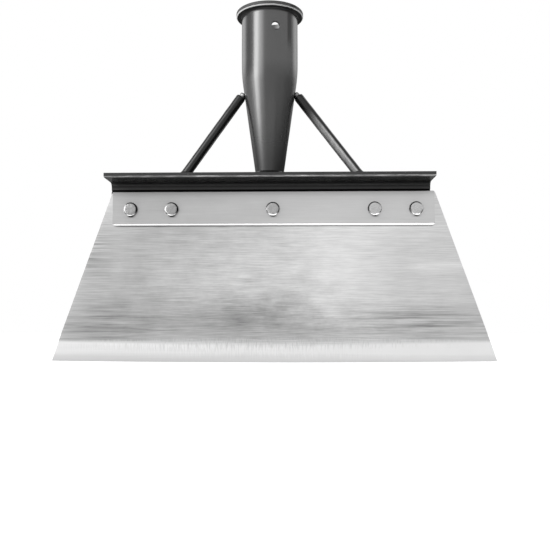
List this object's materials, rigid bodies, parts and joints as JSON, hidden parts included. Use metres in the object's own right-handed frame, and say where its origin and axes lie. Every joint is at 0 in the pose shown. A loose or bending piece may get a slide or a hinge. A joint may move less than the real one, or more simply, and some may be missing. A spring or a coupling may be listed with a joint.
{
  "type": "draw hoe head",
  "caption": "Wide trapezoid draw hoe head: blade riveted under a clamp strip to an angle bar, with a braced, tapered socket for a round wooden handle.",
  "frame": {"origin": "centre of the handle socket's mouth, on the socket's axis", "axes": "+Z along the socket's axis and out of its mouth, +X along the blade to the right, -Y towards the side with the clamp strip and rivet heads"},
  "size_m": [0.3, 0.0456, 0.237],
  "materials": {
    "blade": "rolled spring steel, horizontal satin grain, brighter ground bevel",
    "strip": "satin rolled steel strip",
    "rivets": "hammered steel rivets",
    "black_paint": "semi-gloss black enamel"
  },
  "bodies": {
    "root": {"handle_socket": "black_paint", "angle_bar": "black_paint", "blade": "blade", "clamp_strip": "strip", "rivet_far_left": "rivets", "rivet_left": "rivets", "rivet_centre": "rivets", "rivet_right": "rivets", "rivet_far_right": "rivets", "socket_weld": "black_paint", "brace_left": "black_paint", "brace_right": "black_paint", "brace_foot_weld_left": "black_paint", "brace_foot_weld_right": "black_paint", "brace_top_weld_left": "black_paint", "brace_top_weld_right": "black_paint"}
  },
  "joints": []
}
